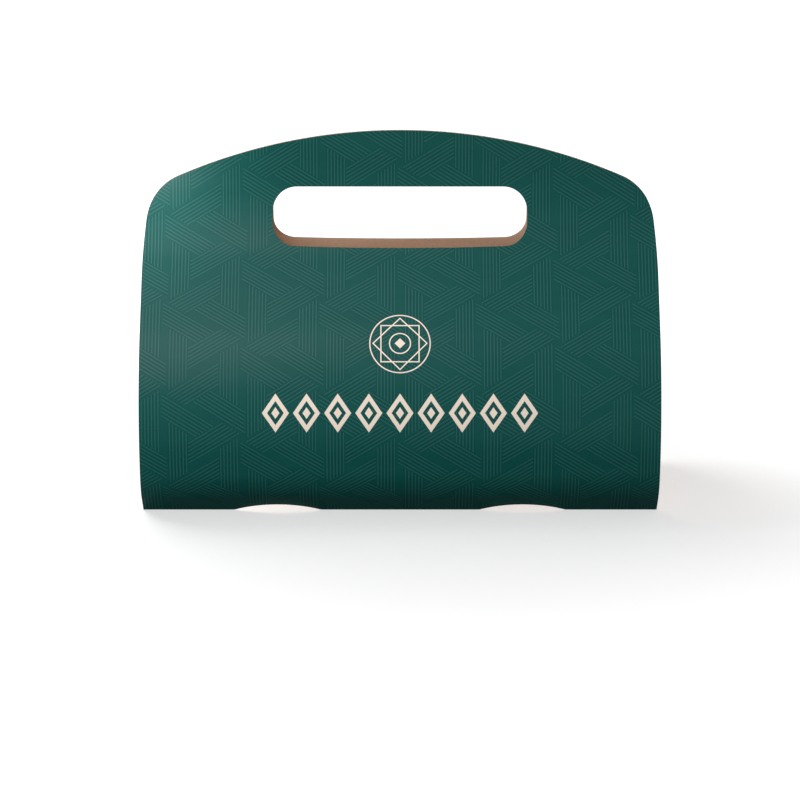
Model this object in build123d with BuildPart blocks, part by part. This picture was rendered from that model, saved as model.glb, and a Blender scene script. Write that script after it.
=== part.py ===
from build123d import *
from math import cos, radians, sin, tan
import os

# Cup carrier folded from one die-cut sheet of board, for two cups side by side.
# Sizes are in millimetres. X runs along the row of cups, Y through the two panels and Z up.
# The origin is the middle of the underside, between the two cup holes, where the carrier rests.

os.makedirs("parts", exist_ok=True)

# The board, and the bead that a creasing rule raises inside each fold
board = 0.5
crease_radius = 0.9
bead_width = 1.5
bead_height = 0.4

# The two cup holes in the base
cup_hole_diameter = 83.0
cup_bridge = 29.0
end_margin = 20.0
hole_past_crease = 5.0

# A panel from the side: corners of its bend, measured on the printed outer face
carrier_height = 169.5
foot_lean = 45.0
foot_run = 18.8
side_past_crease = 17.7
side_height = 59.2
handle_height = 130.0
handle_gap = 0.6

# How much of the shorter run beside each corner its bend takes up
low_bend_share = 0.45
high_bend_share = 0.70
handle_bend_share = 0.55
past_top_share = 0.05

# A panel from the front
cheek_below_top = 65.0
cheek_inset = 3.7
crown_rise = 26.8
shoulder_radius = 24.5

# The hand hole
slot_length = 116.3
slot_height = 25.5
slot_bow = 1.1
slot_below_top = 25.9
slot_upper_corner_share = 0.43
slot_lower_corner_share = 0.39

# How far a cut runs past the board
overrun = 1.0

# Sizes that follow
hole_radius = cup_hole_diameter / 2
hole_place = (cup_hole_diameter + cup_bridge) / 2
half_width = hole_place + hole_radius + end_margin
crease_reach = hole_radius - hole_past_crease
slot_top = carrier_height - slot_below_top
slot_bottom = slot_top - slot_height
cheek_start = carrier_height - cheek_below_top

# Corners of the bend, as distance from the middle plane and height
base_middle = Vector(0, 0)
crease = Vector(crease_reach, 0)
foot_way = Vector(cos(radians(foot_lean)), sin(radians(foot_lean)))
low_corner = crease + foot_way * foot_run
high_corner = Vector(crease_reach + side_past_crease, side_height)
handle_foot = Vector(handle_gap / 2 + board, handle_height)
top = Vector(handle_foot.X, carrier_height)
past_top = top + (top - handle_foot) * past_top_share
half_lean = radians(foot_lean / 2)
bend_centre = crease + Vector(-tan(half_lean), 1) * crease_radius
bead_centre = bend_centre + Vector(sin(half_lean), -cos(half_lean)) * (crease_radius - board)
cut_depth = high_corner.X + overrun


def bend_radius(before, corner, after, share):
    """Radius of the arc that takes up a share of the shorter run beside a corner."""
    run_in, run_out = before - corner, after - corner
    return share * min(run_in.length, run_out.length) * tan(radians(run_in.get_angle(run_out) / 2))


with BuildPart() as carrier_sheet:
    # Half of the sheet from the side: flat base, crease, straight foot, an easy bend over the cups,
    # and a straight run in to the handle, where the two panels stand upright and all but touch.
    with BuildSketch(Plane.YZ):
        with BuildLine():
            FilletPolyline(
                base_middle,
                crease,
                low_corner,
                high_corner,
                handle_foot,
                past_top,
                radius=[
                    crease_radius,
                    bend_radius(crease, low_corner, high_corner, low_bend_share),
                    bend_radius(low_corner, high_corner, handle_foot, high_bend_share),
                    bend_radius(high_corner, handle_foot, top, handle_bend_share),
                ],
            )
            offset(amount=board, side=Side.LEFT)
        make_face()
        with Locations(bead_centre):
            Ellipse(bead_width / 2, bead_height, rotation=foot_lean / 2)
    extrude(amount=half_width, both=True)

    # The outline from the front: straight sides, cheeks that lean in, round shoulders, low crown.
    with BuildSketch(Plane.XZ) as outline:
        with BuildLine():
            side = Line((half_width, -overrun), (half_width, cheek_start))
            spring = Vector(half_width - cheek_inset, carrier_height - crown_rise)
            TangentArc(side @ 1, spring, tangent=side % 1)
            mirror(about=Plane.YZ)
            ThreePointArc(spring, (0, carrier_height), (-spring.X, spring.Y))
            Line(side @ 0, (-half_width, -overrun))
        make_face()
        shoulders = outline.vertices().group_by(Axis.Y)[-1]
        fillet(shoulders, radius=shoulder_radius)
    extrude(amount=-cut_depth, mode=Mode.INTERSECT)

    # The hand hole: a long slot with round corners and a lower edge that dips a little.
    with BuildSketch(Plane.XZ) as hand_hole:
        with BuildLine():
            upper = Line((-slot_length / 2, slot_top), (slot_length / 2, slot_top))
            left = Line(upper @ 0, (-slot_length / 2, slot_bottom))
            right = Line(upper @ 1, (slot_length / 2, slot_bottom))
            ThreePointArc(left @ 1, (0, slot_bottom - slot_bow), right @ 1)
        make_face()
        corners = hand_hole.vertices().group_by(Axis.Y)
        fillet(corners[0], radius=slot_lower_corner_share * slot_height)
        fillet(corners[-1], radius=slot_upper_corner_share * slot_height)
    extrude(amount=-cut_depth, mode=Mode.SUBTRACT)

    # The cup holes are round in the flat sheet and wider than the base. In the base they are cut
    # straight down, and past the crease the same circle goes on square to the sloping foot.
    with BuildSketch(Plane.XY):
        with Locations((-hole_place, 0), (hole_place, 0)):
            Circle(hole_radius)
        Rectangle(2 * half_width, 2 * crease_reach, mode=Mode.INTERSECT)
    extrude(amount=board + overrun, both=True, mode=Mode.SUBTRACT)
    foot = Plane(
        origin=(0, crease_reach, 0),
        x_dir=(1, 0, 0),
        z_dir=(0, -foot_way.Y, foot_way.X),
    )
    with BuildSketch(foot):
        with Locations((-hole_place, -crease_reach), (hole_place, -crease_reach)):
            Circle(hole_radius)
        with Locations((0, hole_radius / 2)):
            Rectangle(2 * half_width, hole_radius, mode=Mode.INTERSECT)
    extrude(amount=board + overrun, both=True, mode=Mode.SUBTRACT)

    # The other half of the sheet
    mirror(about=Plane.XZ)
carrier_sheet.part.label = "carrier_sheet"
export_step(carrier_sheet.part, "parts/carrier_sheet.step")
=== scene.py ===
# %% [markdown]
# # A cup carrier folded from one sheet of board
#
# The real carrier is die-cut from one flat sheet, printed on one side, creased twice and bent up.
# The scene makes it in that order: draw the blank, cut it into fine strips, bend it, give it the
# thickness of the board, then finish the printed side, the bare kraft side and the cut edges.
# The sheet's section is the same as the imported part's, so the finished board lies where it lies.

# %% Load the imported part
import bmesh
import bpy
from math import atan2, ceil, cos, degrees, pi, radians, sin, sqrt, tan
from mathutils import Matrix, Vector


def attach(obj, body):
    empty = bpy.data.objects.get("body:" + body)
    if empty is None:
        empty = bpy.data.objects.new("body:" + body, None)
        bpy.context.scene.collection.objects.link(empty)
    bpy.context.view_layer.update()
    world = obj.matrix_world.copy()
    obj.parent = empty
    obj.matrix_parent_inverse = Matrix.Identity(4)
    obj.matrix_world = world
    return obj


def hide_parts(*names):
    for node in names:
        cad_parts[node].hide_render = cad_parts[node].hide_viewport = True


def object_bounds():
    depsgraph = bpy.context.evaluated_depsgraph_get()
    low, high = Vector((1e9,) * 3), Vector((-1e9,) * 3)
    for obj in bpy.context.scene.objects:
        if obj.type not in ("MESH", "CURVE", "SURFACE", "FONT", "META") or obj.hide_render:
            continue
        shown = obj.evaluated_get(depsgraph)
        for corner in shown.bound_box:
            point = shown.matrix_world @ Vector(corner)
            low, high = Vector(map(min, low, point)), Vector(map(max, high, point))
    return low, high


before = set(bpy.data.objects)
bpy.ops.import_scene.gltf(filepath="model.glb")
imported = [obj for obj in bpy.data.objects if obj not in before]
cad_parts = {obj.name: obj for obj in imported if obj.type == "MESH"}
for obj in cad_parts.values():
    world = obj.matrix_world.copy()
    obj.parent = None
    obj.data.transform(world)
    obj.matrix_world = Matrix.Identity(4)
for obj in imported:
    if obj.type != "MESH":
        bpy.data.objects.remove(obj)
packed_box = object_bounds()
MM = 0.001
print("packed part, mm:", [[round(c / MM, 2) for c in corner] for corner in packed_box])

# %% [markdown]
# ## The camera
#
# The picture was taken with a long lens, a little above the carrier and looking down on it. A long
# lens keeps the two sides nearly parallel, so a normal lens moved closer would not do instead.

# %% Place the camera
picture_width = 800
focal_pixels = 2995
camera_distance = 1.350
camera_height = 0.399
camera_dip = radians(14.8)

camera_data = bpy.data.cameras.new("camera")
camera_data.sensor_width = 36
camera_data.lens = focal_pixels / picture_width * camera_data.sensor_width
camera = bpy.data.objects.new("camera", camera_data)
camera.location = (0, -camera_distance, camera_height)
camera.rotation_euler = (pi / 2 - camera_dip, 0, 0)
bpy.context.scene.collection.objects.link(camera)
bpy.context.scene.camera = camera
bpy.context.scene.view_settings.view_transform = "Standard"
print("lens, mm:", round(camera_data.lens, 1))

# %% [markdown]
# ## The section of the bent board
#
# Seen from the side, the printed face runs flat from the middle of the base, turns up at the
# crease, bulges out over the cups and comes back in to the hand hole. It is written as a few
# corners, and each corner is rounded with an arc that takes up a share of the shorter run beside
# it. A list of straight pieces and arcs can be walked by length, which is what bending needs:
# a point of the flat blank goes as far along the section as it lies from the middle.

# %% Sizes of the sheet
board = 0.5 * MM
crease_radius = 0.9 * MM
cup_hole_radius = 41.5 * MM
cup_bridge = 29.0 * MM
hole_past_crease = 5.0 * MM
foot_lean = radians(45)
foot_run = 18.8 * MM
side_past_crease = 17.7 * MM
side_height = 59.2 * MM
handle_height = 130.0 * MM
handle_gap = 0.6 * MM
low_bend_share, high_bend_share, handle_bend_share = 0.45, 0.70, 0.55

half_width = packed_box[1].x
carrier_height = packed_box[1].z
crease = Vector((cup_hole_radius - hole_past_crease, 0))
low_corner = crease + Vector((cos(foot_lean), sin(foot_lean))) * foot_run
high_corner = Vector((crease.x + side_past_crease, side_height))
handle_foot = Vector((handle_gap / 2 + board, handle_height))
top = Vector((handle_foot.x, carrier_height))
past_top = top + (top - handle_foot)
section_corners = [Vector((0, 0)), crease, low_corner, high_corner, handle_foot, past_top]
bend_shares = (low_bend_share, high_bend_share, handle_bend_share)

# %% Turn the corners into straight pieces and arcs
def section_pieces(corners, first_radius, shares):
    """The section as pieces of (length, turn), where a straight piece turns by nothing."""
    runs = [after - before for before, after in zip(corners, corners[1:])]
    lengths = [run.length for run in runs[:-1]] + [runs[-1].length / 2]
    pieces, taken = [], 0
    for number, (run, following) in enumerate(zip(runs, runs[1:])):
        turn = run.angle_signed(following) * -1
        if number == 0:
            tangent = first_radius * tan(abs(turn) / 2)
        else:
            tangent = shares[number - 1] * min(lengths[number], lengths[number + 1])
        radius = tangent / tan(abs(turn) / 2)
        pieces.append((run.length - taken - tangent, 0))
        pieces.append((radius * abs(turn), turn))
        taken = tangent
    pieces.append((runs[-1].length - taken, 0))
    return pieces


section = section_pieces(section_corners, crease_radius, bend_shares)
print("section, mm and degrees:", [(round(l / MM, 2), round(degrees(t), 1)) for l, t in section])


def section_point(distance):
    """Place on the printed face that lies this far from the middle of the base."""
    place, heading = Vector((0, 0)), 0
    for length, turn in section:
        step = min(length, distance)
        bend = turn * step / length
        if abs(bend) > 1e-9:
            chord = 2 * step / bend * sin(bend / 2)
        else:
            chord = step
        place += Vector((cos(heading + bend / 2), sin(heading + bend / 2))) * chord
        heading += bend
        distance -= step
        if distance <= 0:
            break
    return place


def distance_up(height):
    """How far along the printed face a height lies, found by halving."""
    low, high = crease.x, sum(length for length, _ in section)
    for _ in range(50):
        middle = (low + high) / 2
        if section_point(middle).y < height:
            low = middle
        else:
            high = middle
    return low


half_sheet = distance_up(carrier_height)
print("half of the sheet is", round(half_sheet / MM, 2), "mm long")

# %% [markdown]
# ## The blank
#
# The outline was chosen from the front, where the carrier is seen, so it is drawn there first:
# a cheek that leans in, a round shoulder and a low crown, each one an arc. A vertex spun round a
# centre makes such an arc. The front view is then unrolled onto the flat sheet and mirrored, as
# a maker would lay out the cutting rule. Drawing the flat outline at once would be shorter, but
# the crown would come out lower than it looks in the hand.

# %% Helpers for drawing a line of board cuts
def spin_arc(bm, start, centre, end, steps):
    """Edges from a vertex round a centre to the direction of the end. Returns the last vertex."""
    first, last = start.co - centre, end - centre
    sweep = atan2(first.x * last.y - first.y * last.x, first.dot(last))
    made = bmesh.ops.spin(
        bm, geom=[start], cent=centre, axis=(0, 0, 1), angle=sweep, steps=steps, use_merge=False
    )
    return [v for v in made["geom_last"] if isinstance(v, bmesh.types.BMVert)][0]


def meeting_circles(centre_a, radius_a, centre_b, radius_b):
    """The point on the right that lies at these distances from both centres."""
    gap = centre_b - centre_a
    along = (gap.length_squared + radius_a**2 - radius_b**2) / (2 * gap.length)
    aside = sqrt(radius_a**2 - along**2)
    way = gap.normalized()
    return centre_a + way * along + Vector((-way.y, way.x, 0)) * aside


# %% Draw the panel's outline from the front
cheek_below_top = 65.0 * MM
cheek_inset = 3.7 * MM
crown_rise = 26.8 * MM
shoulder_radius = 24.5 * MM
cheek_steps, shoulder_steps, crown_steps = 16, 24, 40

cheek_start = carrier_height - cheek_below_top
spring = Vector((half_width - cheek_inset, carrier_height - crown_rise, 0))
cheek_rise = spring.y - cheek_start
cheek_radius = (cheek_inset**2 + cheek_rise**2) / (2 * cheek_inset)
crown_radius = (spring.x**2 + crown_rise**2) / (2 * crown_rise)
cheek_centre = Vector((half_width - cheek_radius, cheek_start, 0))
crown_centre = Vector((0, carrier_height - crown_radius, 0))
shoulder_centre = meeting_circles(
    cheek_centre, cheek_radius - shoulder_radius, crown_centre, crown_radius - shoulder_radius
)
cheek_end = cheek_centre + (shoulder_centre - cheek_centre).normalized() * cheek_radius
crown_end = crown_centre + (shoulder_centre - crown_centre).normalized() * crown_radius

blank = bmesh.new()
corner = blank.verts.new((half_width, cheek_start, 0))
corner = spin_arc(blank, corner, cheek_centre, cheek_end, cheek_steps)
corner = spin_arc(blank, corner, shoulder_centre, crown_end, shoulder_steps)
crown_top = crown_centre + Vector((0, crown_radius, 0))
corner = spin_arc(blank, corner, crown_centre, crown_top, crown_steps)
bmesh.ops.mirror(blank, geom=blank.verts[:] + blank.edges[:], axis="X", merge_dist=1e-6)
print("outline of one panel:", len(blank.verts), "points, shoulder at",
      [round(c / MM, 1) for c in shoulder_centre])

# %% Draw the hand hole from the front
slot_length = 116.3 * MM
slot_height = 25.5 * MM
slot_bow = 1.1 * MM
slot_below_top = 25.9 * MM
slot_upper_corner, slot_lower_corner = 0.43 * slot_height, 0.39 * slot_height
slot_corner_steps, slot_bow_steps = 16, 30

slot_middle = carrier_height - slot_below_top - slot_height / 2
slot_place = Matrix.Translation((0, slot_middle, 0))
slot_size = Matrix.Diagonal((slot_length, slot_height, 1, 1))
hole = bmesh.new()
bmesh.ops.create_grid(hole, x_segments=1, y_segments=1, size=0.5)
bmesh.ops.transform(hole, verts=hole.verts, matrix=slot_place @ slot_size)
for radius, upper in ((slot_upper_corner, True), (slot_lower_corner, False)):
    corners = [v for v in hole.verts if (v.co.y > slot_middle) == upper]
    bmesh.ops.bevel(
        hole, geom=corners, offset=radius, offset_type="OFFSET", segments=slot_corner_steps,
        profile=0.5, affect="VERTICES", material=-1,
    )
bmesh.ops.delete(hole, geom=hole.faces[:], context="FACES_ONLY")
long_edges = [e for e in hole.edges if e.calc_length() > slot_height]
bmesh.ops.subdivide_edges(hole, edges=long_edges, cuts=slot_bow_steps)
for v in hole.verts:
    if v.co.y < slot_middle:
        v.co.y -= slot_bow * max(0, 1 - (2 * v.co.x / slot_length) ** 2)
print("hand hole:", len(hole.verts), "points")

# %% Lay out the whole blank
cup_hole_points = 128


def unroll(bm):
    """Moves points drawn in the front view to where they lie on the flat sheet."""
    for v in bm.verts:
        v.co.y = distance_up(v.co.y)


unroll(blank)
unroll(hole)
hole_mesh = bpy.data.meshes.new("hand_hole_line")
hole.to_mesh(hole_mesh)
hole.free()
blank.from_mesh(hole_mesh)
bpy.data.meshes.remove(hole_mesh)
bmesh.ops.mirror(blank, geom=blank.verts[:] + blank.edges[:], axis="Y", merge_dist=0)
blank.verts.ensure_lookup_table()
for side in (-1, 1):
    ends = [v for v in blank.verts if abs(v.co.x - side * half_width) < 1e-7]
    blank.edges.new(sorted(ends, key=lambda v: abs(v.co.y))[:2])
    cup_place = Matrix.Translation((side * (cup_hole_radius + cup_bridge / 2), 0, 0))
    bmesh.ops.create_circle(
        blank, cap_ends=False, segments=cup_hole_points, radius=cup_hole_radius, matrix=cup_place
    )
bmesh.ops.triangle_fill(
    blank, use_beauty=True, use_dissolve=False, edges=blank.edges[:], normal=(0, 0, 1)
)
print("blank, cm2:", round(sum(f.calc_area() for f in blank.faces) * 1e4, 1))

# %% [markdown]
# ## Fine strips for a smooth bend
#
# A filled outline is a few long triangles, and those can't bend. Cutting the blank with a plane
# at each step along the section gives it the fold lines that it needs, close together in the
# crease and wide apart where the board is straight. The first triangles' own edges are then
# dissolved, so that every face lies in one strip and the bend shades smoothly. A remesh would
# be quicker to write, but it would nibble the die-cut edge.

# %% Cut the blank into strips and dissolve the fill
turn_step = radians(2.5)
longest_step = 6 * MM
across_step = 5 * MM
bead_width = 1.5 * MM
bead_steps = 10

strip_lines, start = [], 0
for length, turn in section:
    steps = max(1, ceil(abs(turn) / turn_step), ceil(length / longest_step))
    strip_lines += [start + length * n / steps for n in range(steps + 1)]
    start += length
crease_middle = section[0][0] + section[1][0] / 2
bead_angles = [pi * n / bead_steps for n in range(bead_steps + 1)]
strip_lines += [crease_middle + bead_width / 2 * cos(angle) for angle in bead_angles]
strip_lines = sorted({round(line, 7) for line in strip_lines if 0 < line < half_sheet})
across_lines = [n * across_step for n in range(1, ceil(half_width / across_step))]

for e in blank.edges:
    e.seam = not e.is_boundary
for lines, way in ((strip_lines, Vector((0, 1, 0))), (across_lines, Vector((1, 0, 0)))):
    for line in [0] + lines + [-line for line in lines]:
        whole = blank.verts[:] + blank.edges[:] + blank.faces[:]
        bmesh.ops.bisect_plane(blank, geom=whole, dist=1e-7, plane_co=way * line, plane_no=way)
bmesh.ops.dissolve_edges(blank, edges=[e for e in blank.edges if e.seam], use_verts=False)
spare = [v for v in blank.verts if len(v.link_edges) == 2 and not v.is_boundary]
bmesh.ops.dissolve_verts(blank, verts=spare)
for e in blank.edges:
    e.seam = False
print("strips:", len(strip_lines), "faces:", len(blank.faces),
      "largest corner count:", max(len(f.verts) for f in blank.faces))

# %% [markdown]
# ## A map of the flat sheet
#
# The print was laid on the board while it was flat, so its pattern must follow the sheet round
# every bend. The flat places are kept as the piece's own map, one unit to the metre, before the
# points move. Object coordinates would be simpler, but they would squash the print on the foot.

# %% Keep the flat map, then bend the blank
sheet_map = blank.loops.layers.uv.new("flat_sheet")
for face in blank.faces:
    face.smooth = True
    for loop in face.loops:
        loop[sheet_map].uv = loop.vert.co.xy
blank.verts.index_update()
flat_lengths = {v.index: abs(v.co.y) for v in blank.verts}
for v in blank.verts:
    place = section_point(abs(v.co.y))
    front = -1 if v.co.y > 0 else 1
    v.co = (v.co.x, front * place.x, place.y)

carrier_mesh = bpy.data.meshes.new("carrier")
blank.to_mesh(carrier_mesh)
blank.free()
carrier = bpy.data.objects.new("carrier", carrier_mesh)
bpy.context.scene.collection.objects.link(carrier)
print("bent sheet:", len(carrier_mesh.polygons), "faces")

# %% [markdown]
# ## Board thickness and the crease bead
#
# A creasing rule pushes the board into a groove, which leaves a low bead along the inside of each
# fold. Weights along the crease let one Solidify modifier make both the even thickness and the
# bead. The printed face stays where it is and the thickness grows inwards, and the die-cut edge
# gets its own material. A narrow bevel takes the sharpness off that edge, as the cutting rule does.

# %% Weigh the crease for its bead
bead_height = 0.3 * MM
thickest = board + bead_height

bead = carrier.vertex_groups.new(name="crease_bead")
weighed = 0
for vertex, flat in flat_lengths.items():
    aside = (flat - crease_middle) / (bead_width / 2)
    if abs(aside) < 1:
        bead.add([vertex], sqrt(1 - aside**2), "REPLACE")
        weighed += 1
print("crease middle, mm:", round(crease_middle / MM, 2), "weighed points:", weighed)

# %% Give the board its thickness and worn cut edge
edge_wear = 0.07 * MM

wall = carrier.modifiers.new("board", "SOLIDIFY")
wall.thickness = thickest
wall.offset = -1
wall.use_even_offset = True
wall.use_quality_normals = True
wall.vertex_group = bead.name
wall.thickness_vertex_group = board / thickest
wall.material_offset = 1
wall.material_offset_rim = 2

rim = carrier.modifiers.new("cut_edge", "BEVEL")
rim.width = edge_wear
rim.segments = 2
rim.limit_method = "ANGLE"
rim.angle_limit = radians(60)
rim.harden_normals = True
print("board, mm:", round(board / MM, 2), "with the bead:", round(thickest / MM, 2))

# %% [markdown]
# ## Helpers for materials
#
# Every finish below is a few dozen small nodes. Short helpers keep them readable: one makes a node
# with its inputs, one does a step of arithmetic, one makes a soft step and one lays a colour over
# another. Wiring each node by hand would give the same finish in five times as many lines. An
# effect that more than one finish uses becomes a node group with named inputs and outputs.

# %% Short ways to make nodes
def shade(red, green, blue):
    """A colour given as on a paint chart, 0 to 255, turned into the linear values nodes use."""
    return tuple(((c / 255 + 0.055) / 1.055) ** 2.4 for c in (red, green, blue)) + (1,)


def node(tree, kind, inputs=None, **settings):
    """A node with settings, and inputs that are values or other nodes' sockets."""
    made = tree.nodes.new("ShaderNode" + kind)
    for name, value in settings.items():
        setattr(made, name, value)
    for name, value in (inputs or {}).items():
        if isinstance(value, bpy.types.NodeSocket):
            tree.links.new(value, made.inputs[name])
        else:
            made.inputs[name].default_value = value
    return made


def sum_up(tree, operation, *values):
    """One step of arithmetic on numbers or sockets."""
    return node(tree, "Math", dict(enumerate(values)), operation=operation).outputs[0]


def ramp(tree, value, low, high, out_low=0.0, out_high=1.0):
    """A soft step from one value to another."""
    inputs = {
        "Value": value, "From Min": low, "From Max": high, "To Min": out_low, "To Max": out_high
    }
    return node(tree, "MapRange", inputs, interpolation_type="SMOOTHSTEP").outputs["Result"]


def blend(tree, factor, below, above):
    """One colour laid over another by a mask."""
    made = node(tree, "Mix", {"Factor": factor}, data_type="RGBA")
    for number, colour in ((6, below), (7, above)):
        if isinstance(colour, bpy.types.NodeSocket):
            tree.links.new(colour, made.inputs[number])
        else:
            made.inputs[number].default_value = colour
    return made.outputs[2]


def start_group(name, inputs, outputs):
    """A node group with sockets of (name, type), and its ends."""
    tree = bpy.data.node_groups.new(name, "ShaderNodeTree")
    for sockets, way in ((inputs, "INPUT"), (outputs, "OUTPUT")):
        for socket, kind in sockets:
            tree.interface.new_socket(socket, in_out=way, socket_type="NodeSocket" + kind)
    return tree, tree.nodes.new("NodeGroupInput"), tree.nodes.new("NodeGroupOutput")


def use_group(tree, group, inputs):
    """A group placed in a material or another group."""
    made = tree.nodes.new("ShaderNodeGroup")
    made.node_tree = group
    for name, value in inputs.items():
        if isinstance(value, bpy.types.NodeSocket):
            tree.links.new(value, made.inputs[name])
        else:
            made.inputs[name].default_value = value
    return made


def sheet_place(tree, across=0.0, along=0.0):
    """The place on the flat sheet in millimetres, from a chosen point."""
    flat = node(tree, "UVMap", uv_map="flat_sheet").outputs["UV"]
    shift = (-across / MM, -along / MM, 0)
    scale = Vector((1, 1, 1)) / MM
    inputs = {"Vector": flat, "Location": shift, "Scale": scale}
    return node(tree, "Mapping", inputs).outputs["Vector"]


# %% [markdown]
# ## The woven stripes
#
# The board is printed all over with stripes that seem to weave in three directions. The drawing is
# a net of equal triangles. Along each side of a triangle lies a block of six thin lines, and its
# ends are cut by the blocks that cross it, so that each block seems to dive under the next. One
# family of blocks is enough: turned a sixth of a turn each way, it draws the other two. It puts
# out the lines and the whole blocks, because the ink between the lines is a little darker.
# The lines could be an image, but a formula stays sharp at any distance and fits any sheet.

# %% Sizes of the stripes, in millimetres on the flat sheet
net_side = 40.9
first_line = 2.5
line_step = 1.5
line_width = 0.5
line_count = 6
ink_spread = 0.15
under_gap = 0.75
over_reach = 1.1

row_step = net_side * cos(radians(30))
upper_end = net_side / 2 + over_reach
last_line = first_line + (line_count - 1) * line_step
lower_end = -net_side / 2 + (last_line + under_gap) / cos(radians(30))
print("row step, mm:", round(row_step, 2), "last line at:", round(last_line, 2))

# %% One family of line blocks
stripe_outputs = [("Lines", "Float"), ("Blocks", "Float")]
stripe_family, ends_in, ends_out = start_group(
    "stripe_family", [("Place", "Vector"), ("Turn", "Float")], stripe_outputs
)
t = stripe_family
turned = node(
    t, "VectorRotate", {"Vector": ends_in.outputs["Place"], "Angle": ends_in.outputs["Turn"]},
    rotation_type="Z_AXIS",
).outputs["Vector"]
parts = node(t, "SeparateXYZ", {"Vector": turned})
row = sum_up(t, "ROUND", sum_up(t, "DIVIDE", parts.outputs["X"], row_step))
aside = sum_up(t, "SUBTRACT", parts.outputs["X"], sum_up(t, "MULTIPLY", row, row_step))
odd_row = sum_up(t, "FLOORED_MODULO", row, 2.0)
shifted = sum_up(t, "ADD", parts.outputs["Y"], sum_up(t, "MULTIPLY", odd_row, net_side / 2))
along = sum_up(t, "SUBTRACT", sum_up(t, "FLOORED_MODULO", shifted, net_side), net_side / 2)
along = sum_up(t, "MULTIPLY", along, sum_up(t, "MULTIPLY", sum_up(t, "SIGN", aside), -1.0))
aside = sum_up(t, "ABSOLUTE", aside)
number = sum_up(t, "DIVIDE", sum_up(t, "SUBTRACT", aside, first_line), line_step)
off_line = sum_up(t, "ABSOLUTE", sum_up(t, "SUBTRACT", number, sum_up(t, "ROUND", number)))
off_line = sum_up(t, "MULTIPLY", off_line, line_step)
line = ramp(t, off_line, (line_width + ink_spread) / 2, (line_width - ink_spread) / 2)
past_first = sum_up(t, "GREATER_THAN", number, -0.5)
before_last = sum_up(t, "LESS_THAN", number, line_count - 0.5)
counted = sum_up(t, "MULTIPLY", past_first, before_last)
lean = sum_up(t, "MULTIPLY", aside, tan(radians(30)))
upper = ramp(t, sum_up(t, "ADD", along, lean), upper_end + ink_spread, upper_end)
lower = ramp(t, sum_up(t, "SUBTRACT", along, lean), lower_end, lower_end + ink_spread)
block = sum_up(t, "MULTIPLY", counted, sum_up(t, "MULTIPLY", upper, lower))
t.links.new(block, ends_out.inputs["Blocks"])
t.links.new(sum_up(t, "MULTIPLY", line, block), ends_out.inputs["Lines"])

# %% The three families together
woven_stripes, ends_in, ends_out = start_group(
    "woven_stripes", [("Place", "Vector")], stripe_outputs
)
t = woven_stripes
families = [
    use_group(t, stripe_family, {"Place": ends_in.outputs["Place"], "Turn": radians(turn)}).outputs
    for turn in (0, 60, -60)
]
for name in ("Lines", "Blocks"):
    first, second, third = [family[name] for family in families]
    widest = sum_up(t, "MAXIMUM", first, sum_up(t, "MAXIMUM", second, third))
    t.links.new(widest, ends_out.inputs[name])
print("stripe family:", len(stripe_family.nodes), "nodes, used", len(families), "times")

# %% [markdown]
# ## The front print
#
# A plain figure in cream stands in the middle of the front, over a border of lozenges: two squares
# turned against each other inside a ring, as in old tile work, and a row of lozenges, as on the
# hem of a woven rug. Each shape is the distance from its line, so a ring, a square and a lozenge
# need one short formula each. They are placed by height on the bent board, since that is where
# the eye judges them.

# %% Strokes for the cream print
figure_height = 79.0 * MM
border_height = 49.5 * MM
figure_ring, figure_square, figure_line = 13.6, 8.6, 0.55
lozenge_step, lozenge_half_width, lozenge_half_height = 14.0, 6.1, 8.8
lozenge_count = 9
lozenge_outside, lozenge_inside, lozenge_core, lozenge_blur = 1.0, 0.62, 0.30, 0.02

front_print, ends_in, ends_out = start_group(
    "front_print", [("Figure", "Vector"), ("Border", "Vector")], [("Ink", "Float")]
)
t = front_print


def stroke(distance, width):
    """Ink where the distance from a line is less than half its width."""
    off = sum_up(t, "ABSOLUTE", distance)
    return ramp(t, off, (width + ink_spread) / 2, (width - ink_spread) / 2)


def parted(vector):
    """The absolute distances across and along."""
    made = node(t, "SeparateXYZ", {"Vector": vector})
    return sum_up(t, "ABSOLUTE", made.outputs["X"]), sum_up(t, "ABSOLUTE", made.outputs["Y"])


across, along = parted(ends_in.outputs["Figure"])
squared = [sum_up(t, "POWER", distance, 2.0) for distance in (across, along)]
reach = sum_up(t, "SQRT", sum_up(t, "ADD", *squared))
square = sum_up(t, "MAXIMUM", across, along)
lozenge = sum_up(t, "MULTIPLY", sum_up(t, "ADD", across, along), cos(radians(45)))
strokes = [
    stroke(sum_up(t, "SUBTRACT", reach, figure_ring), figure_line),
    stroke(sum_up(t, "SUBTRACT", square, figure_square), figure_line),
    stroke(sum_up(t, "SUBTRACT", lozenge, figure_square), figure_line),
    stroke(sum_up(t, "SUBTRACT", reach, figure_square * 0.55), figure_line),
    stroke(lozenge, figure_square * 0.4),
]
across, along = parted(ends_in.outputs["Border"])
within = sum_up(t, "LESS_THAN", across, lozenge_count * lozenge_step / 2)
near = sum_up(t, "PINGPONG", across, lozenge_step / 2)
share_across = sum_up(t, "DIVIDE", near, lozenge_half_width)
share_along = sum_up(t, "DIVIDE", along, lozenge_half_height)
size = sum_up(t, "ADD", share_across, share_along)
outside = ramp(t, size, lozenge_outside + lozenge_blur, lozenge_outside - lozenge_blur)
inside = ramp(t, size, lozenge_inside - lozenge_blur, lozenge_inside + lozenge_blur)
outer = sum_up(t, "MULTIPLY", outside, inside)
inner = ramp(t, size, lozenge_core + lozenge_blur, lozenge_core - lozenge_blur)
strokes.append(sum_up(t, "MULTIPLY", within, sum_up(t, "ADD", outer, inner)))
ink = strokes[0]
for other in strokes[1:]:
    ink = sum_up(t, "MAXIMUM", ink, other)
t.links.new(ink, ends_out.inputs["Ink"])
print("front print:", len(front_print.nodes), "nodes")

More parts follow.
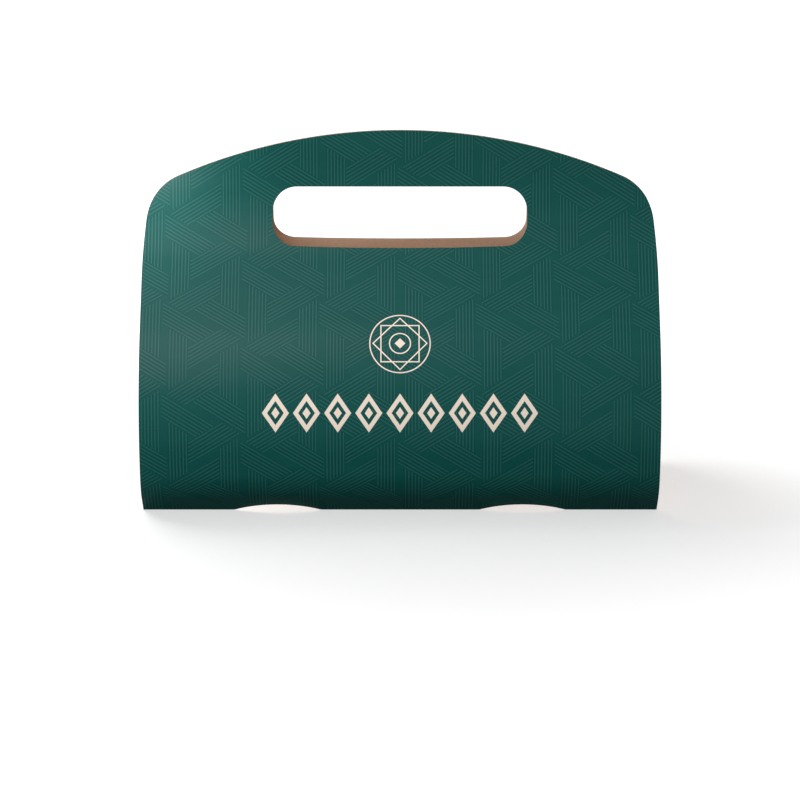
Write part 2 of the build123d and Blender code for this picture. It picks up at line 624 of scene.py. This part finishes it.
# %% [markdown]
# ## Paper fibres
#
# Board is pressed from fibres that lie mostly one way. The same effect serves all three finishes:
# noise stretched along the fibres, for the colour and for the height of the surface, and rare
# specks where a darker fibre shows. An even colour would look like plastic.

# %% A group for fibres and specks
fibre_outputs = [("Tone", "Float"), ("Specks", "Float"), ("Height", "Float")]
paper_fibres, ends_in, ends_out = start_group("paper_fibres", [("Place", "Vector")], fibre_outputs)
t = paper_fibres
inputs = {"Vector": ends_in.outputs["Place"], "Scale": (0.35, 1.6, 1.0)}
stretched = node(t, "Mapping", inputs).outputs["Vector"]
fine = node(t, "TexNoise", {"Vector": stretched, "Scale": 1.6, "Detail": 4.0, "Roughness": 0.62})
broad = node(t, "TexNoise", {"Vector": stretched, "Scale": 0.09, "Detail": 3.0, "Roughness": 0.5})
speck = node(t, "TexNoise", {"Vector": stretched, "Scale": 0.75, "Detail": 2.0, "Roughness": 0.4})
fine_share = sum_up(t, "MULTIPLY", fine.outputs[0], 0.6)
broad_share = sum_up(t, "MULTIPLY", broad.outputs[0], 0.4)
t.links.new(sum_up(t, "ADD", fine_share, broad_share), ends_out.inputs["Tone"])
t.links.new(ramp(t, speck.outputs[0], 0.68, 0.76), ends_out.inputs["Specks"])
t.links.new(fine.outputs[0], ends_out.inputs["Height"])
print("paper fibres:", len(t.nodes), "nodes")

# %% [markdown]
# ## The printed face
#
# Deep green ink with a satin coat covers the outside. The stripes are the same ink a little
# lighter, with a little more ink between them, so they are made by colour alone. The cream figure
# lies only on the front panel, where the map's second coordinate is positive. Along the creases
# the coat cracks and the board shows through a little.

# %% Helpers for a finish on paper
def finish(name):
    """A material with a shader ready to be wired."""
    material = bpy.data.materials.new(name)
    material.use_nodes = True
    tree = material.node_tree
    return material, tree, tree.nodes["Principled BSDF"]


def paper_surface(tree, shader, fibres, colour, roughness, relief):
    """Wires the colour, the range of roughness and the relief of the fibres to the shader."""
    tree.links.new(colour, shader.inputs["Base Color"])
    rough = ramp(tree, fibres["Tone"], 0.3, 0.7, *roughness)
    tree.links.new(rough, shader.inputs["Roughness"])
    strength, depth = relief
    bump = node(tree, "Bump", {"Strength": strength, "Distance": depth, "Height": fibres["Height"]})
    tree.links.new(bump.outputs["Normal"], shader.inputs["Normal"])


# %% Printed face
net_centre = 144.5 * MM
net_stretch = 1.056
ink_ground, ink_between, ink_line = shade(7, 76, 71), shade(3, 70, 65), shade(34, 93, 89)
ink_worn, ink_cream = shade(40, 104, 98), shade(248, 232, 216)
board_core = shade(150, 138, 118)
printed_roughness, printed_relief = (0.28, 0.36), (0.18, 0.03 * MM)
crack_reach = 0.9
most_worn, most_cracked = 0.10, 0.45

printed, t, shader = finish("printed_board")
place = sheet_place(t)
fibres = use_group(t, paper_fibres, {"Place": place}).outputs
net_shift = -(net_centre / MM) / net_stretch - net_side / 2
inputs = {"Vector": place, "Location": (0, net_shift, 0), "Scale": (1, 1 / net_stretch, 1)}
net_place = node(t, "Mapping", inputs).outputs["Vector"]
stripes = use_group(t, woven_stripes, {"Place": net_place}).outputs
colour = blend(t, stripes["Blocks"], ink_ground, ink_between)
colour = blend(t, stripes["Lines"], colour, ink_line)
tint = ramp(t, fibres["Tone"], 0.35, 0.65, 0.0, most_worn)
colour = blend(t, tint, colour, ink_worn)
figure = sheet_place(t, along=distance_up(figure_height))
border = sheet_place(t, along=distance_up(border_height))
cream = use_group(t, front_print, {"Figure": figure, "Border": border}).outputs["Ink"]
colour = blend(t, cream, colour, ink_cream)

along = node(t, "SeparateXYZ", {"Vector": place}).outputs["Y"]
from_middle = sum_up(t, "ABSOLUTE", along)
from_crease = sum_up(t, "ABSOLUTE", sum_up(t, "SUBTRACT", from_middle, crease_middle / MM))
inputs = {"Vector": place, "Scale": 2.2, "Detail": 3.0, "Roughness": 0.7}
crack_noise = node(t, "TexNoise", inputs).outputs[0]
on_crease = ramp(t, from_crease, crack_reach, 0.2)
broken = ramp(t, crack_noise, 0.56, 0.70, 0.0, most_cracked)
colour = blend(t, sum_up(t, "MULTIPLY", on_crease, broken), colour, board_core)
paper_surface(t, shader, fibres, colour, printed_roughness, printed_relief)
shader.inputs["Specular IOR Level"].default_value = 0.12
carrier.data.materials.append(printed)
print("printed face:", len(t.nodes), "nodes")

# %% [markdown]
# ## The bare side and the cut edges
#
# The inside is kraft board with no coat: brown, matt and visibly fibrous. The cut edges show the
# board's pulp, which is greyer and rougher. One brown for both would be simpler, but then the
# edge couldn't be told from the inside. The pulp has no map that runs through the thickness, so
# it takes its place from the object itself.

# %% Bare kraft side
kraft_dark, kraft_light = shade(215, 181, 154), shade(235, 203, 177)
kraft_speck = shade(132, 98, 72)
kraft_roughness, kraft_relief = (0.78, 0.90), (0.35, 0.05 * MM)

kraft, t, shader = finish("bare_kraft")
fibres = use_group(t, paper_fibres, {"Place": sheet_place(t)}).outputs
colour = blend(t, ramp(t, fibres["Tone"], 0.32, 0.68), kraft_dark, kraft_light)
speckled = sum_up(t, "MULTIPLY", fibres["Specks"], 0.5)
colour = blend(t, speckled, colour, kraft_speck)
paper_surface(t, shader, fibres, colour, kraft_roughness, kraft_relief)
shader.inputs["Specular IOR Level"].default_value = 0.3
carrier.data.materials.append(kraft)
print("bare kraft:", len(t.nodes), "nodes")

# %% Cut edges
pulp_dark, pulp_light = shade(126, 112, 98), shade(160, 143, 125)
pulp_roughness, pulp_relief = (0.85, 0.95), (0.5, 0.05 * MM)

pulp, t, shader = finish("cut_pulp")
place = node(t, "TexCoord").outputs["Object"]
place = node(t, "Mapping", {"Vector": place, "Scale": Vector((1, 1, 1)) / MM}).outputs["Vector"]
fibres = use_group(t, paper_fibres, {"Place": place}).outputs
colour = blend(t, ramp(t, fibres["Tone"], 0.32, 0.68), pulp_dark, pulp_light)
paper_surface(t, shader, fibres, colour, pulp_roughness, pulp_relief)
carrier.data.materials.append(pulp)
print("cut edges:", len(t.nodes), "nodes")

# %% [markdown]
# ## Where the board belongs
#
# The finished board is one piece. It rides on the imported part's only body and takes the place of
# its sheet. Both could be shown, but two faces in one place flicker.

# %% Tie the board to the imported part
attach(carrier, "root")
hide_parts("carrier_sheet")

# %% [markdown]
# ## Floor and light
#
# The ground is white, with a soft shadow that falls to the right. A wide floor catches
# the shadow near the carrier and fades to plain white farther out. Close to the carrier the floor
# also glows a little for bounced rays, a painted glow that lights the foot of the board in place of
# the light a pale table would throw. The floor lies a tenth of a millimetre low, so that floor and
# board don't share a plane. An even pale surround fills the rest, so that ink shows about as it is
# mixed, and three soft lamps stand in it. The key lamp at the upper left lights the board alone:
# when it lit the floor too, its shadow fell too dark at the right. A small lamp close to the left
# shoulder gives the sheen there, and a lamp behind on the left throws the soft shadow forward to
# the right.

# %% A helper that tells rays apart
def ray_kinds(tree):
    """The light path, and a mask for rays that show the background."""
    seen = node(tree, "LightPath").outputs
    bent = sum_up(tree, "MAXIMUM", seen["Is Glossy Ray"], seen["Is Transmission Ray"])
    return seen, sum_up(tree, "MAXIMUM", seen["Is Camera Ray"], bent)


# %% Lay the floor
floor_reach = 8.0
floor_drop = 0.1 * MM

floor_mesh = bpy.data.meshes.new("floor")
plate = bmesh.new()
bmesh.ops.create_grid(plate, x_segments=1, y_segments=1, size=floor_reach / 2)
plate.to_mesh(floor_mesh)
plate.free()
floor = bpy.data.objects.new("floor", floor_mesh)
floor.location.z = -floor_drop
bpy.context.scene.collection.objects.link(floor)
print("floor, m:", floor_reach)

# %% White ground
shade_start, shade_end = 0.10, 0.40
white_near, mirrored_near, bounce_glow_near = 0.62, 0.02, 0.20
bare, lit = (0.5, 0.5, 0.5, 1), (0.9, 0.9, 0.9, 1)

ground, t, shader = finish("white_ground")
shader.inputs["Roughness"].default_value = 0.9
place = node(t, "TexCoord").outputs["Object"]
away = node(t, "VectorMath", {0: place}, operation="LENGTH").outputs["Value"]
seen, direct = ray_kinds(t)
near_glow = ramp(t, seen["Is Camera Ray"], 0.0, 1.0, mirrored_near, white_near)
glow = sum_up(t, "MULTIPLY", direct, ramp(t, away, shade_start, shade_end, near_glow, 1.0))
# Near the carrier the floor glows for diffuse rays: a painted glow that stands in for light bounced
# up to the foot.
bounce_glow = ramp(t, away, shade_start, shade_end, bounce_glow_near, 0.0)
glow = sum_up(t, "ADD", glow, sum_up(t, "MULTIPLY", seen["Is Diffuse Ray"], bounce_glow))
shader.inputs["Emission Color"].default_value = (1, 1, 1, 1)
t.links.new(glow, shader.inputs["Emission Strength"])
t.links.new(blend(t, seen["Is Camera Ray"], bare, lit), shader.inputs["Base Color"])
shader.inputs["Specular IOR Level"].default_value = 0.0
floor_mesh.materials.append(ground)

# %% Lamps
def soft_lamp(name, place, aimed_at, size, power):
    """A square lamp that points at a place."""
    data = bpy.data.lights.new(name, "AREA")
    data.size = size
    data.energy = power
    lamp = bpy.data.objects.new(name, data)
    lamp.location = place
    way = Vector(aimed_at) - lamp.location
    lamp.rotation_euler = way.to_track_quat("-Z", "Y").to_euler()
    bpy.context.scene.collection.objects.link(lamp)
    print(name, "is", round(way.length, 2), "m away and gives", power, "W")
    return lamp


board_middle = (0, 0, 0.08)
left_shoulder = (-0.118, 0, 0.150)
key_lamp = soft_lamp("key_lamp", (-0.35, -0.47, 0.54), board_middle, size=0.60, power=5.7)
shoulder_lamp = soft_lamp(
    "shoulder_lamp", (-0.14, -0.12, 0.135), left_shoulder, size=0.05, power=0.016
)
soft_lamp("back_lamp", (-0.45, 0.35, 0.60), board_middle, size=0.60, power=3.2)

# %% Keep the key lamp off the floor and the shoulder lamp on the shoulder
lit_by_key = bpy.data.collections.new("lit_by_key")
lit_by_key.objects.link(carrier)
key_lamp.light_linking.receiver_collection = lit_by_key
shoulder_lamp.data.spread = radians(50)
shoulder_lamp.visible_camera = False

# %% Surround
surround_light = 0.15

surround = bpy.data.worlds.new("surround")
bpy.context.scene.world = surround
surround.use_nodes = True
t = surround.node_tree
seen, direct = ray_kinds(t)
t.nodes["Background"].inputs["Color"].default_value = (1, 1, 1, 1)
strength = ramp(t, direct, 0.0, 1.0, surround_light, 1.0)
t.links.new(strength, t.nodes["Background"].inputs["Strength"])
print("the surround gives", surround_light, "of white")
